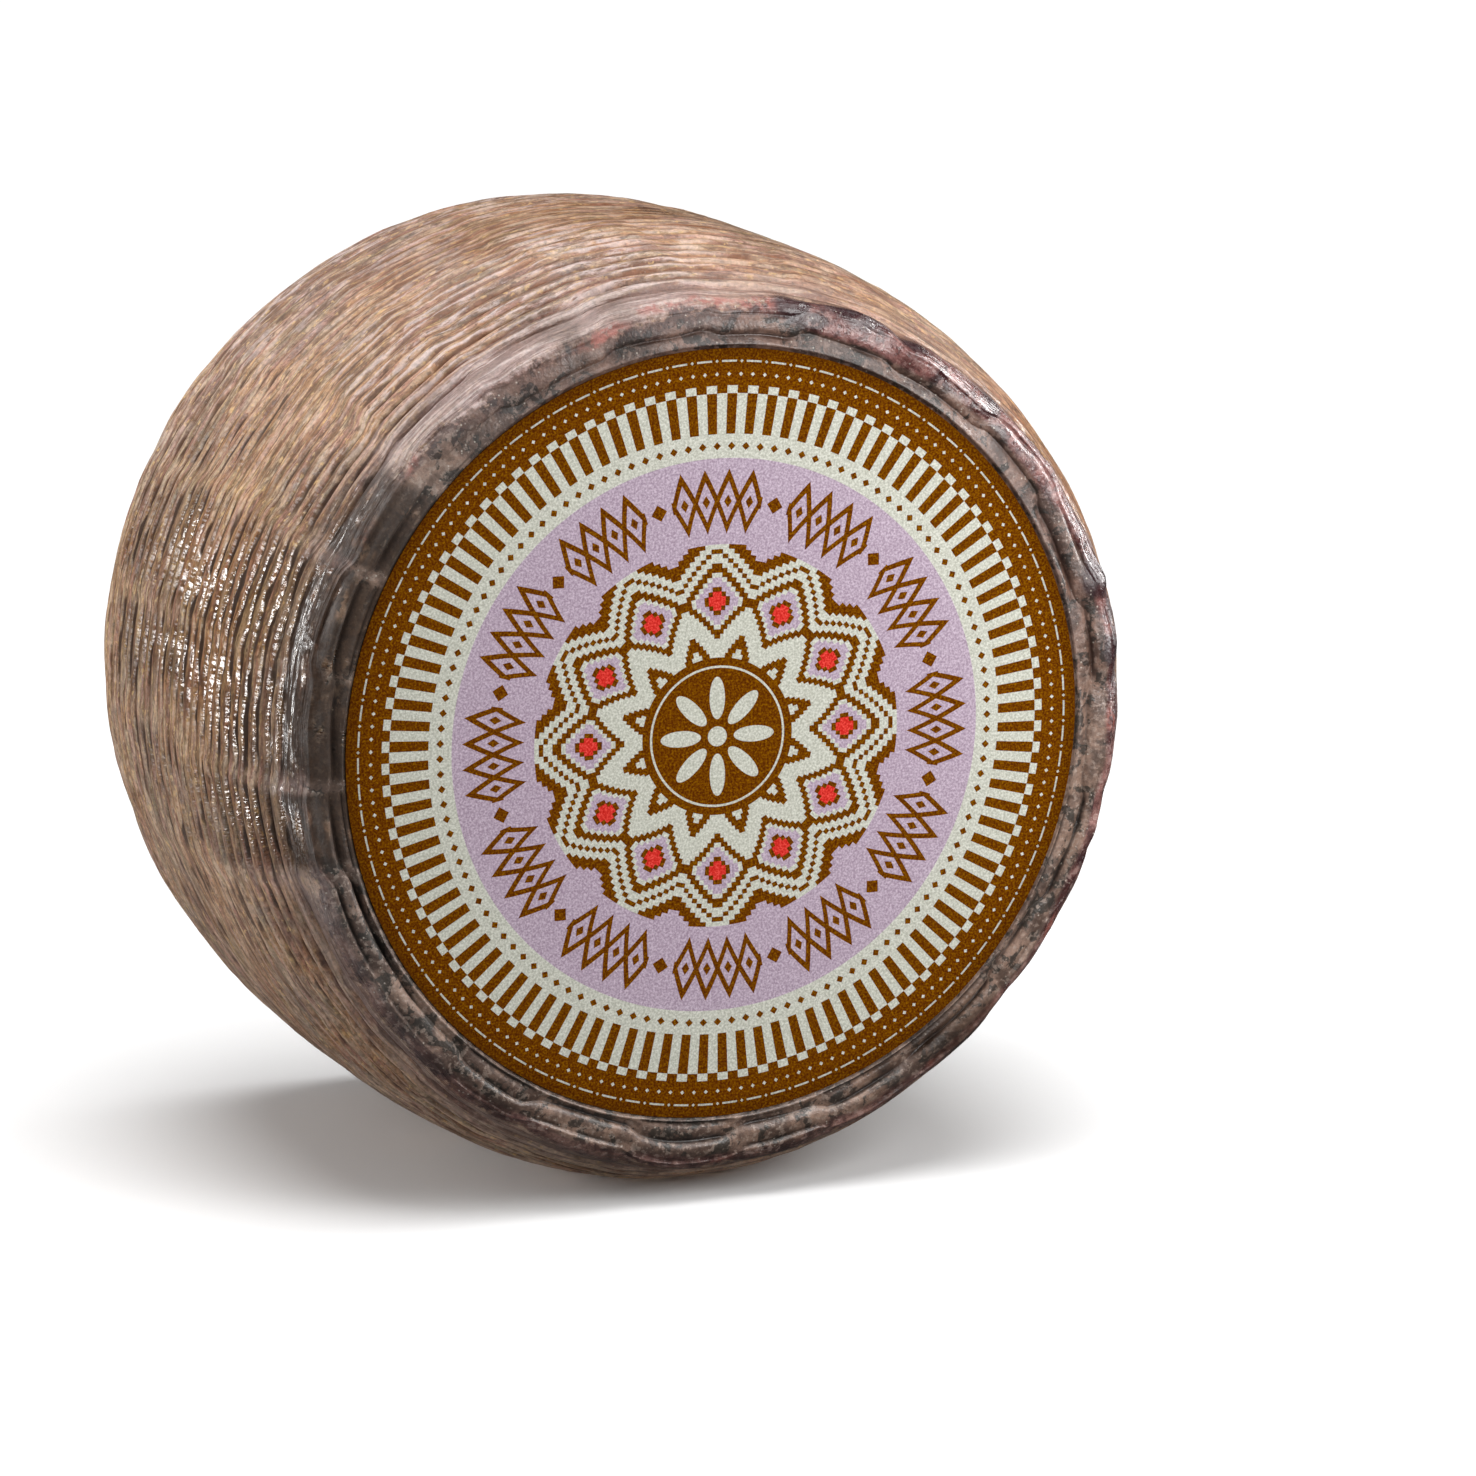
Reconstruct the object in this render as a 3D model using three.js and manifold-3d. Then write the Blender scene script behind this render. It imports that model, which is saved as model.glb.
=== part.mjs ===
// A whole wheel of aged sheep's milk cheese, standing on its rim, with a round paper label on
// its front face. Its rind carries the print of the woven basket that it was pressed in.
// Lengths are millimetres and angles are radians. The wheel's axis lies along Y, the label
// faces -Y, +Z is up, and the origin is on the ground under the middle of the wheel.
import * as THREE from 'three';
import { mergeVertices } from 'three/addons/utils/BufferGeometryUtils.js';
import Module from 'manifold-3d';

const wasm = await Module();
wasm.setup();

// The body of the wheel
const WHEEL_RADIUS = 95; // at the widest ring of the bulging side
const WHEEL_HEIGHT = 122; // from face to face
const SIDE_FALL = 9.3; // from the widest ring to the edge of the side
const SIDE_POWER = 3.9; // 2 is a plain bulge, and more keeps the middle of the side straighter
const EDGE_HEIGHT = 3.3; // the rounded edge between side and face, along the axis
const EDGE_CORNER = 2; // from that edge in to where the side's line meets the face
const EDGE_WIDTH = 4.5; // the rounded edge, across the face
const STANDING_DEPTH = 1.2; // how deep the flat spot under the wheel cuts into the rim

// The slow unevenness of a soft cheese: waves round the rim, as [waves, height, phase]
const RIM_SWELLS = [[2, 0.4, 1.9], [3, 0.5, -1.0], [4, 0.4, -0.3]];

// The paper label, and the flat seat in the face that it lies on
const LABEL_RADIUS = 76.2;
const LABEL_THICKNESS = 0.25;
const LABEL_SIDES = 96;
const SEAT_RADIUS = 76.8;

// The basket's print. Stakes run across the side and the faces, and weavers run round.
const STAKES = 24;
const COLUMNS_PER_STAKE = 2;
const COLUMNS = STAKES * COLUMNS_PER_STAKE;
const FIRST_STAKE = THREE.MathUtils.degToRad(4);

// A weaver passes over one stake and under the next, so the print steps out in one span and in
// in the next. Along one stretch of the rim a weaver was left out, and the order is swapped.
const SWAPPED_SPANS = [14, 20];

// Two folds of rind between the seat and the rolled lip of each face. A fold is steep on its
// inner side. Places named arc are measured along the profile, from the centre of the face.
const FIRST_CREASE_ARC = 79.5;
const FOLD_PITCH = 4.0;
const FOLD_CREST = 1.4; // from a crease out to the crest of the fold
const FOLD_BROW = 3.1; // from a crease out to where the fold starts to fall to the next one
const FOLD_LIFT = 0.4;
const BROW_LIFT = 0.15;
const CREASE_DEPTH = 0.7;
const FOLD_STEP = 0.7; // how far a crease steps in or out
const LIP_ARC = 85.9;
const LIP_LIFT = 0.5;
const SHOULDER_ARC = 88.6; // the smooth band between lip and ribs

// At the upper right the outer fold has grown into the lip, as one thick roll
const GROWN_TURN = THREE.MathUtils.degToRad(58);
const GROWN_HALF_TURN = THREE.MathUtils.degToRad(24);
const GROWN_ARC = 84;
const GROWN_HALF_WIDTH = 2.9;
const GROWN_LIFT = 0.8;
const GROWN_FILL = 0.9; // how much the crease between the two is filled up

// The fine ribs round the side, and those round the back face
const RIB_START_ARC = 90.4;
const SIDE_RIBS = 30;
const RIB_CROWDING = 0.13; // how much closer ribs lie near the edges than the mean
const RIB_DEPTH = 0.75; // from crest to groove
const RIB_CREST_LIFT = 0.05;
const RIB_SWAY = 0.55; // how far a rib arches to the front between two stakes
const RIB_STEP = 0.6; // how far the ribs of one span are out of line with the next
const BACK_RIBS = 16;
const BACK_RIB_INNER_RADIUS = 20;
const BACK_BOSS_RADIUS = 18; // the plain middle of the back face

// The print is deep in some stretches and worn in others: waves round the rim, as
// [waves, turn for each millimetre along the profile, share of the depth]
const WEAR_WAVES = [[3, 0.09, 0.25], [7, -0.05, 0.15]];

const RIND_COLOR = 0x8a6c55;
const LABEL_COLOR = 0xc4c4b8;

const HALF_HEIGHT = WHEEL_HEIGHT / 2;
const EDGE_RADIUS = WHEEL_RADIUS - SIDE_FALL;
const SIDE_HALF = HALF_HEIGHT - EDGE_HEIGHT;
const CENTRE_HEIGHT = WHEEL_RADIUS - STANDING_DEPTH;

// The outline of half a cut through the axis, from the centre of the front face, over the side,
// to the centre of the back face. x is the distance from the axis and y lies along it.
function wheelProfile() {
  const sideSteps = 24;
  const side = [];
  for (let i = 1; i <= sideSteps; i += 1) {
    const share = (2 * i) / sideSteps - 1;
    const radius = WHEEL_RADIUS - SIDE_FALL * Math.abs(share) ** SIDE_POWER;
    side.push(new THREE.Vector2(radius, share * SIDE_HALF));
  }
  const cornerRadius = EDGE_RADIUS - EDGE_CORNER;
  const faceRadius = EDGE_RADIUS - EDGE_WIDTH;
  return new THREE.Path()
    .moveTo(0, -HALF_HEIGHT)
    .lineTo(faceRadius, -HALF_HEIGHT)
    .quadraticCurveTo(cornerRadius, -HALF_HEIGHT, EDGE_RADIUS, -SIDE_HALF)
    .splineThru(side)
    .quadraticCurveTo(cornerRadius, HALF_HEIGHT, faceRadius, HALF_HEIGHT)
    .lineTo(0, HALF_HEIGHT);
}

const profile = wheelProfile();
const PROFILE_LENGTH = profile.getLength();

// A ring of the mesh: its place along the profile, how far it stands out of the plain body, how
// far it sways along the profile from one stake to the next, and how much it is filled up where
// the fold has grown.
function ring(arc, lift = 0, sway = 0, kind = 'plain', fill = 0) {
  return { arc, lift, sway, kind, fill };
}

function mirrored(rings) {
  const back = (one) => ring(PROFILE_LENGTH - one.arc, one.lift, -one.sway, one.kind, one.fill);
  return rings.map(back).reverse();
}

// Folds, lip and shoulder of one face, from the seat outwards
function faceEdgeRings() {
  const lipCreaseArc = FIRST_CREASE_ARC + FOLD_PITCH;
  return [
    ring(SEAT_RADIUS),
    ring(FIRST_CREASE_ARC - FOLD_CREST, FOLD_LIFT, FOLD_STEP, 'fold'),
    ring(FIRST_CREASE_ARC, -CREASE_DEPTH, FOLD_STEP, 'fold'),
    ring(FIRST_CREASE_ARC + FOLD_CREST, FOLD_LIFT, FOLD_STEP, 'fold'),
    ring(FIRST_CREASE_ARC + FOLD_BROW, BROW_LIFT, FOLD_STEP, 'fold'),
    ring(lipCreaseArc, -CREASE_DEPTH, FOLD_STEP, 'fold', GROWN_FILL),
    ring(LIP_ARC, LIP_LIFT, 0, 'fold'),
    ring(SHOULDER_ARC),
  ];
}

// Crests and grooves round the side, closer together towards the two edges
function sideRibRings() {
  const span = PROFILE_LENGTH - 2 * RIB_START_ARC;
  const rings = [];
  for (let half = 0; half <= 2 * SIDE_RIBS; half += 1) {
    const share = half / (2 * SIDE_RIBS);
    const crowded = share - (RIB_CROWDING * Math.sin(2 * Math.PI * share)) / (2 * Math.PI);
    const lift = half % 2 === 1 ? RIB_CREST_LIFT : RIB_CREST_LIFT - RIB_DEPTH;
    rings.push(ring(RIB_START_ARC + span * crowded, lift, RIB_SWAY, 'rib'));
  }
  return rings;
}

// Crests and grooves round the back face, from its seat in towards the centre
function backRibRings() {
  const start = PROFILE_LENGTH - SEAT_RADIUS;
  const span = SEAT_RADIUS - BACK_RIB_INNER_RADIUS;
  const rings = [];
  for (let half = 1; half <= 2 * BACK_RIBS; half += 1) {
    const lift = (half % 2 === 1 ? 0.5 : -0.5) * RIB_DEPTH;
    rings.push(ring(start + (span * half) / (2 * BACK_RIBS), lift, RIB_SWAY, 'rib'));
  }
  return rings;
}

// Which way the print steps in a span: 1 is away from the front face's centre
function stepSide(span) {
  const swapped = span >= SWAPPED_SPANS[0] && span < SWAPPED_SPANS[1];
  return (span % 2 === 0) !== swapped ? 1 : -1;
}

// How far a ring has swayed at a column: ribs and folds step in one span and out in the next,
// and ribs arch to the front between two stakes.
function sway(one, column) {
  const atStake = column % COLUMNS_PER_STAKE === 0;
  const side = stepSide(Math.floor(column / COLUMNS_PER_STAKE));
  if (one.kind === 'fold') {
    return atStake ? 0 : one.sway * side;
  }
  if (one.kind === 'rib') {
    return atStake ? one.sway / 2 : -one.sway / 2 + RIB_STEP * side;
  }
  return 0;
}

// How much higher the folded edge stands where the outer fold has grown into the lip
function grownLift(one, angle) {
  const turned = (angle - GROWN_TURN) / GROWN_HALF_TURN;
  const arc = Math.min(one.arc, PROFILE_LENGTH - one.arc);
  const away = (arc - GROWN_ARC) / GROWN_HALF_WIDTH;
  const height = GROWN_LIFT * Math.exp(-(away ** 2)) + one.fill;
  return height * Math.exp(-(turned ** 4));
}

function wear(arc, angle) {
  let depth = 1;
  for (const [waves, turn, share] of WEAR_WAVES) {
    depth += share * Math.sin(waves * angle + turn * arc);
  }
  return depth;
}

function rimSwell(angle) {
  let height = 0;
  for (const [waves, size, phase] of RIM_SWELLS) {
    height += size * Math.cos(waves * angle + phase);
  }
  return height;
}

function wheelPoint(one, column) {
  const angle = FIRST_STAKE + (column / COLUMNS) * 2 * Math.PI;
  const share = (one.arc + sway(one, column)) / PROFILE_LENGTH;
  const place = profile.getPoint(share);
  const along = profile.getTangent(share);
  let lift = one.kind === 'plain' ? one.lift : one.lift * wear(one.arc, angle);
  lift += one.kind === 'fold' ? grownLift(one, angle) : 0;
  const outside = THREE.MathUtils.smoothstep(place.x, SEAT_RADIUS, EDGE_RADIUS);
  const radius = place.x + along.y * lift + rimSwell(angle) * outside;
  return [radius * Math.cos(angle), place.y - along.x * lift, radius * Math.sin(angle)];
}

// One closed skin of rings, with a fan of triangles at the centre of each face
function wheelGeometry() {
  const faceEdge = faceEdgeRings();
  const boss = ring(PROFILE_LENGTH - BACK_BOSS_RADIUS);
  const rings = [...faceEdge, ...sideRibRings(), ...mirrored(faceEdge), ...backRibRings(), boss];
  const positions = [0, -HALF_HEIGHT, 0];
  for (const one of rings) {
    for (let column = 0; column < COLUMNS; column += 1) {
      positions.push(...wheelPoint(one, column));
    }
  }
  positions.push(0, HALF_HEIGHT, 0);
  const backCentre = positions.length / 3 - 1;
  const vertex = (row, column) => 1 + row * COLUMNS + (column % COLUMNS);
  const faces = [];
  for (let column = 0; column < COLUMNS; column += 1) {
    faces.push(0, vertex(0, column), vertex(0, column + 1));
    for (let row = 0; row + 1 < rings.length; row += 1) {
      faces.push(vertex(row, column), vertex(row + 1, column), vertex(row + 1, column + 1));
      faces.push(vertex(row, column), vertex(row + 1, column + 1), vertex(row, column + 1));
    }
    const last = rings.length - 1;
    faces.push(backCentre, vertex(last, column + 1), vertex(last, column));
  }
  const geometry = new THREE.BufferGeometry();
  geometry.setAttribute('position', new THREE.Float32BufferAttribute(positions, 3));
  geometry.setIndex(faces);
  return geometry;
}

function toSolid(geometry) {
  const vertProperties = new Float32Array(geometry.getAttribute('position').array);
  const triVerts = new Uint32Array(geometry.getIndex().array);
  return new wasm.Manifold(new wasm.Mesh({ numProp: 3, vertProperties, triVerts }));
}

function toGeometry(solid) {
  const mesh = solid.getMesh();
  const geometry = new THREE.BufferGeometry();
  geometry.setAttribute('position', new THREE.BufferAttribute(mesh.vertProperties, 3));
  geometry.setIndex(new THREE.BufferAttribute(mesh.triVerts, 1));
  geometry.computeVertexNormals();
  return geometry;
}

// A block under the wheel, whose top is the ground
function groundGeometry() {
  const size = 4 * WHEEL_RADIUS;
  const block = new THREE.BoxGeometry(size, size, size);
  block.deleteAttribute('normal');
  block.deleteAttribute('uv');
  block.translate(0, 0, -CENTRE_HEIGHT - size / 2);
  return mergeVertices(block);
}

function cheeseWheel() {
  const standing = toSolid(wheelGeometry()).subtract(toSolid(groundGeometry()));
  const material = new THREE.MeshStandardMaterial({ color: RIND_COLOR, roughness: 0.5, metalness: 0 });
  const mesh = new THREE.Mesh(toGeometry(standing), material);
  mesh.name = 'cheese_wheel';
  return mesh;
}

function paperLabel() {
  const disc = new THREE.CylinderGeometry(LABEL_RADIUS, LABEL_RADIUS, LABEL_THICKNESS, LABEL_SIDES);
  const material = new THREE.MeshStandardMaterial({ color: LABEL_COLOR, roughness: 0.85, metalness: 0 });
  const mesh = new THREE.Mesh(disc, material);
  mesh.name = 'paper_label';
  mesh.position.y = -HALF_HEIGHT - LABEL_THICKNESS / 2;
  return mesh;
}

const wheel = new THREE.Group();
wheel.add(cheeseWheel(), paperLabel());
wheel.position.z = CENTRE_HEIGHT;

export default wheel;
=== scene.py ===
# %% [markdown]
# A wheel of aged sheep's milk cheese
#
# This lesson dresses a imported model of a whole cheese. The real thing is a drained curd that was
# pressed in a woven basket: the basket's weavers leave fine ribs round its side, its stakes leave
# a kink every 15 degrees, and thick rolls of rind form where the basket's rim was folded over.
# A round paper label lies on one face. Everything is in metres, with the wheel's axis along Y,
# the label facing -Y and +Z up.

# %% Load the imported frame
import math

import bpy
import numpy as np
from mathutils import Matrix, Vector


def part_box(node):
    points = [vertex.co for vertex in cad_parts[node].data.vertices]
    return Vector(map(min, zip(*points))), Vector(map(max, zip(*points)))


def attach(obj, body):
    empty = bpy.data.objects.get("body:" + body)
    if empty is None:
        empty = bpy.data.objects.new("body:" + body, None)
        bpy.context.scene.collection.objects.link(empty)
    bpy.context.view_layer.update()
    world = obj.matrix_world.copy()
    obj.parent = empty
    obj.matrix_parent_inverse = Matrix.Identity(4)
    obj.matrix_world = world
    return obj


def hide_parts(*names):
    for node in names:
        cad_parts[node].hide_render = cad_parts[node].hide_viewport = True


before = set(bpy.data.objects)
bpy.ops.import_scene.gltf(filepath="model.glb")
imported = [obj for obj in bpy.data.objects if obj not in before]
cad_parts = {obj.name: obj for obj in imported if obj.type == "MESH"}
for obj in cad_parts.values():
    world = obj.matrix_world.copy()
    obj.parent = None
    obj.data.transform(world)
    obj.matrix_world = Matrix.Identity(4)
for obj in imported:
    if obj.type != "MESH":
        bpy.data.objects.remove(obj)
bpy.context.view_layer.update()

print("packed nodes:", sorted(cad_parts))

# %% [markdown]
# Sizes
#
# The label's radius, its plane and the height of the wheel's axis are read from the packed
# label, so the dressed pieces can't drift away from the solids. The wheel's own sizes repeat the
# named sizes of the solid.

# %% Sizes, in metres
MM = 0.001
TURN = 2 * math.pi
label_low, label_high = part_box("paper_label")
LABEL_RADIUS = (label_high[0] - label_low[0]) / 2
LABEL_THICKNESS = label_high[1] - label_low[1]
SEAT_Y = label_high[1]
AXIS_HEIGHT = (label_low[2] + label_high[2]) / 2

WHEEL_RADIUS = 95 * MM
HALF_HEIGHT = 61 * MM
SIDE_FALL = 9.3 * MM
SIDE_POWER = 3.9
SIDE_HALF = HALF_HEIGHT - 3.3 * MM
EDGE_RADIUS = WHEEL_RADIUS - SIDE_FALL
CORNER_RADIUS = EDGE_RADIUS - 2 * MM
FACE_RADIUS = EDGE_RADIUS - 4.5 * MM
SEAT_RADIUS = 76.8 * MM
RIM_SWELLS = [(2, 0.4 * MM, 1.9), (3, 0.5 * MM, -1.0), (4, 0.4 * MM, -0.3)]
print("axis height", round(AXIS_HEIGHT / MM, 2), "mm, label radius", round(LABEL_RADIUS / MM, 2), "mm")

# %% [markdown]
# The outline of the wheel
#
# Half a cut through the axis is one line: across the front face, round the edge, over the
# bulging side and back. The line is worked out as a table of points with the distance walked
# along it, which this lesson calls the arc. Every later step asks for a place by its arc.

# %% Outline table
def corner_curve(steps=16):
    share = np.linspace(0, 1, steps)
    radius = (1 - share) ** 2 * FACE_RADIUS + 2 * share * (1 - share) * CORNER_RADIUS + share ** 2 * EDGE_RADIUS
    along = -HALF_HEIGHT + share ** 2 * (HALF_HEIGHT - SIDE_HALF)
    return radius, along


def outline_table():
    share = np.linspace(-1, 1, 241)
    side_radius = WHEEL_RADIUS - SIDE_FALL * np.abs(share) ** SIDE_POWER
    corner_radius, corner_along = corner_curve()
    radius = np.concatenate([[0], corner_radius, side_radius[1:-1], corner_radius[::-1], [0]])
    along = np.concatenate([[-HALF_HEIGHT], corner_along, share[1:-1] * SIDE_HALF,
                            -corner_along[::-1], [HALF_HEIGHT]])
    arc = np.concatenate([[0], np.cumsum(np.hypot(np.diff(radius), np.diff(along)))])
    return arc, radius, along


table_arc, table_radius, table_along = outline_table()
LENGTH = table_arc[-1]


def on_outline(arc):
    step = 0.2 * MM
    radius = np.interp(arc, table_arc, table_radius)
    along = np.interp(arc, table_arc, table_along)
    turn_r = np.interp(arc + step, table_arc, table_radius) - np.interp(arc - step, table_arc, table_radius)
    turn_y = np.interp(arc + step, table_arc, table_along) - np.interp(arc - step, table_arc, table_along)
    size = np.hypot(turn_r, turn_y)
    return radius, along, turn_y / size, -turn_r / size


print("outline is", round(LENGTH / MM, 1), "mm long")

# %% [markdown]
# Rings
#
# A fine rib is only a few rings of faces if the rings follow it. So each ring of the mesh is
# tied to a place on the print: a crease or a crest of the folded edge, or a groove, a flank or
# a crest of a rib. Each ring keeps its arc, how far it stands out, how much it moves with the
# side's weave, how much it steps with the folded edge, and how deep in a groove it lies.

# %% Rings of the print
FOLD_PITCH = 4.0 * MM
FOLD_DEPTH = 1.3 * MM
FIRST_CREASE_ARC = 79.5 * MM
LIP_CREASE_ARC = FIRST_CREASE_ARC + FOLD_PITCH
LIP_ARC = 85.9 * MM
LIP_LIFT = 0.5 * MM
LIP_WIDTH = 2.3 * MM
RIB_START_ARC = 90.4 * MM
SIDE_RIBS = 30
RIB_CROWDING = 0.13
RIB_DEPTH = 0.9 * MM
BACK_RIBS = 16
BACK_RIB_INNER_RADIUS = 20 * MM
BACK_RIB_PITCH = (SEAT_RADIUS - BACK_RIB_INNER_RADIUS) / BACK_RIBS
FOLD_PHASES = (0.0, 0.04, 0.09, 0.17, 0.29, 0.46, 0.64, 0.8, 0.92)
LIP_SHARES = (0.0, 0.02, 0.05, 0.1, 0.18, 0.28, 0.39, 0.52, 0.68, 0.85)
RIB_PROFILE = ((0.0, 0.0, 1.0), (0.1, 0.3, 0.5), (0.36, 0.95, 0.0), (0.66, 1.0, 0.0), (0.88, 0.75, 0.4))
BACK_PHASES = (0.0, 0.18, 0.5, 0.82)


def fold_height(phase):
    """A fold's height from 0 in its crease to nearly 1: steep inside, then falling gently."""
    rise = 1 - math.exp(-phase / 0.12)
    fall = 1 - 0.4 * phase ** 1.5
    close = 1 - math.exp(-(1 - phase) / 0.16)
    return rise * fall * close


def crest(phase, power):
    return math.sin(math.pi * phase) ** power if phase > 0 else 0.0


def fold_rings():
    rings = [(SEAT_RADIUS, 0, 0, 0, 0.3)]
    first_phase = (SEAT_RADIUS - FIRST_CREASE_ARC) / FOLD_PITCH + 1
    for phase in (0.34, 0.42, 0.55, 0.68, 0.82, 0.93):
        height = fold_height(phase)
        step = min(1, max(0, phase - first_phase - 0.14) / 0.25)
        leaning = 0.25 * MM * (1 - phase)
        rings.append((FIRST_CREASE_ARC + (phase - 1) * FOLD_PITCH, FOLD_DEPTH * (height - 0.55) + leaning,
                      0, step, 1 - height))
    for phase in FOLD_PHASES:
        height = fold_height(phase)
        rings.append((FIRST_CREASE_ARC + phase * FOLD_PITCH, FOLD_DEPTH * (height - 0.55), 0, 1, 1 - height))
    return rings


def lip_rings():
    rings = []
    for share in LIP_SHARES:
        arc = LIP_CREASE_ARC + share * (RIB_START_ARC - LIP_CREASE_ARC)
        crease = math.exp(-share / 0.03)
        bulge = math.exp(-((arc - LIP_ARC) / LIP_WIDTH) ** 2)
        rings.append((arc, LIP_LIFT * bulge - 0.6 * FOLD_DEPTH * crease, share ** 2, (1 - share) ** 1.5, crease))
    return rings


def side_rings():
    rings = []
    for rib in range(SIDE_RIBS + 1):
        for phase, height, groove in RIB_PROFILE if rib < SIDE_RIBS else RIB_PROFILE[:1]:
            share = (rib + phase) / SIDE_RIBS
            crowded = share - RIB_CROWDING * math.sin(TURN * share) / TURN
            arc = RIB_START_ARC + (LENGTH - 2 * RIB_START_ARC) * crowded
            rings.append((arc, RIB_DEPTH * (height - 0.9), 1, 0, groove))
    return rings


def back_rings():
    rings = []
    for rib in range(BACK_RIBS):
        for phase in BACK_PHASES:
            height = crest(phase, 0.7)
            arc = LENGTH - SEAT_RADIUS + (rib + phase) * BACK_RIB_PITCH
            if rib + phase > 0:
                rings.append((arc, RIB_DEPTH * (height - 0.55), 0.6, 0, 1 - height))
    for radius in (19.5, 17, 12, 6):
        rings.append((LENGTH - radius * MM, 0, 0, 0, 0))
    return rings


def mirrored(rings):
    return [(LENGTH - arc, lift, -sway, -jog, groove) for arc, lift, sway, jog, groove in reversed(rings)]


edge_rings = fold_rings() + lip_rings()
ring_table = np.array(edge_rings + side_rings() + mirrored(edge_rings) + back_rings())
ring_arc, ring_lift, ring_sway, ring_jog, ring_groove = ring_table.T
print(len(ring_table), "rings")

# %% [markdown]
# The blank
#
# A turner would shape this body on a lathe, and Blender's Spin does the same: one edge after
# another is extruded along the outline, and the line is spun round the axis. Its doubles are
# merged at the two poles and at the seam, and the normals are worked out afresh, because a spin
# can leave them pointing in. Each point of the line carries its ring's number along.

# %% Spin the blank
COLUMNS = 336


def deselect_everything():
    if bpy.context.object and bpy.context.object.mode != "OBJECT":
        bpy.ops.object.mode_set(mode="OBJECT")
    bpy.ops.object.select_all(action="DESELECT")


def outline_object(name, points):
    deselect_everything()
    bpy.ops.mesh.primitive_plane_add(size=MM)
    line = bpy.context.object
    line.name = name
    bpy.ops.object.mode_set(mode="EDIT")
    bpy.ops.mesh.select_all(action="SELECT")
    bpy.ops.mesh.merge(type="CENTER")
    bpy.ops.transform.translate(value=points[0])
    for here, there in zip(points[:-1], points[1:]):
        step = Vector(there) - Vector(here)
        bpy.ops.mesh.extrude_region_move(TRANSFORM_OT_translate={"value": step})
    bpy.ops.object.mode_set(mode="OBJECT")
    return line


blank_radius, blank_along, _, _ = on_outline(ring_arc)
blank_points = [(0, -HALF_HEIGHT, AXIS_HEIGHT)]
blank_points += [(r, y, AXIS_HEIGHT) for r, y in zip(blank_radius, blank_along)]
blank_points += [(0, HALF_HEIGHT, AXIS_HEIGHT)]
rind = outline_object("rind", blank_points)
line_points = np.array([vertex.co for vertex in rind.data.vertices])
apart = np.linalg.norm(line_points[:, None] - np.array(blank_points)[None], axis=2)
numbers = rind.data.attributes.new("ring", "INT", "POINT")
numbers.data.foreach_set("value", apart.argmin(axis=1).astype(np.int32))

bpy.ops.object.mode_set(mode="EDIT")
bpy.ops.mesh.select_all(action="SELECT")
bpy.ops.mesh.spin(steps=COLUMNS, angle=TURN, center=(0, 0, AXIS_HEIGHT), axis=(0, 1, 0))
bpy.ops.mesh.select_all(action="SELECT")
bpy.ops.mesh.remove_doubles(threshold=0.002 * MM)
bpy.ops.mesh.normals_make_consistent(inside=False)
bpy.ops.object.mode_set(mode="OBJECT")
print("blank:", len(rind.data.vertices), "points")

# %% [markdown]
# Pressing the basket into it
#
# No operator knows a basket's weave, so this step moves the points by formulas. A weaver passes
# over one stake and under the next, so from span to span the print steps in or out, like
# bricks. Between two stakes a rib arches to the front and is pressed deepest. Soft random
# sheets, which close on themselves round the rim, make the print deep here and worn there.

# %% Random sheets
STAKES = 24
FIRST_STAKE = math.radians(3)
STAKE_SHARE = 0.2
FOLD_STEP = 1.0 * MM
RIB_STEP = 0.62 * MM
RIB_SWAY = 0.55 * MM


def ease(share):
    share = np.clip(share, 0, 1)
    return share * share * (3 - 2 * share)


def sheet(seed, rows, columns, arc, angle):
    """A smooth random value from -1 to 1 for each place, with no seam round the rim."""
    knots = np.random.default_rng(seed).uniform(-1, 1, (rows + 2, columns))
    down = np.clip(arc / LENGTH, 0, 1) * rows
    across = (angle / TURN % 1) * columns
    row = np.floor(down).astype(int)
    column = np.floor(across).astype(int) % columns
    following = (column + 1) % columns
    u, v = ease(down - row), ease(across - np.floor(across))
    upper = knots[row, column] * (1 - v) + knots[row, following] * v
    lower = knots[row + 1, column] * (1 - v) + knots[row + 1, following] * v
    return upper * (1 - u) + lower * u


def by_span(knots, arc, stake):
    """The value of each span between stakes, down rows of knots, changing quickly at a stake."""
    rows = len(knots) - 2
    down = np.clip(arc / LENGTH, 0, 1) * rows
    row = np.floor(down).astype(int)
    u = ease(down - row)
    span = np.floor(stake).astype(int) % STAKES
    following = (span + 1) % STAKES
    v = ease((stake - np.floor(stake) - 1 + STAKE_SHARE) / STAKE_SHARE)
    upper = knots[row, span] * (1 - v) + knots[row, following] * v
    lower = knots[row + 1, span] * (1 - v) + knots[row + 1, following] * v
    return upper * (1 - u) + lower * u


def per_span(seed, rows, arc, stake):
    return by_span(np.random.default_rng(seed).uniform(-1, 1, (rows + 2, STAKES)), arc, stake)


# %% The weave's steps
SLIPPED_SPANS = range(14, 20)
arc = ring_arc[:, None]
angle = (np.arange(COLUMNS) * TURN / COLUMNS)[None, :]
stake = (angle - FIRST_STAKE) / TURN * STAKES + 0.10 * sheet(11, 7, 24, arc, angle)
part_of_span = stake - np.floor(stake)
middle_of_span = (part_of_span + STAKE_SHARE / 2) % 1
arch = 4 * middle_of_span * (1 - middle_of_span)
pressed_share = ease(middle_of_span / 0.22) * ease((1 - middle_of_span) / 0.22)
weave_signs = np.array([(-1.0) ** (span + (span in SLIPPED_SPANS)) for span in range(STAKES)])
alternate = by_span(np.tile(weave_signs, (3, 1)), arc, stake)
rib_share = np.abs(ring_sway)[:, None]
fold_share = np.abs(ring_jog)[:, None]

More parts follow.
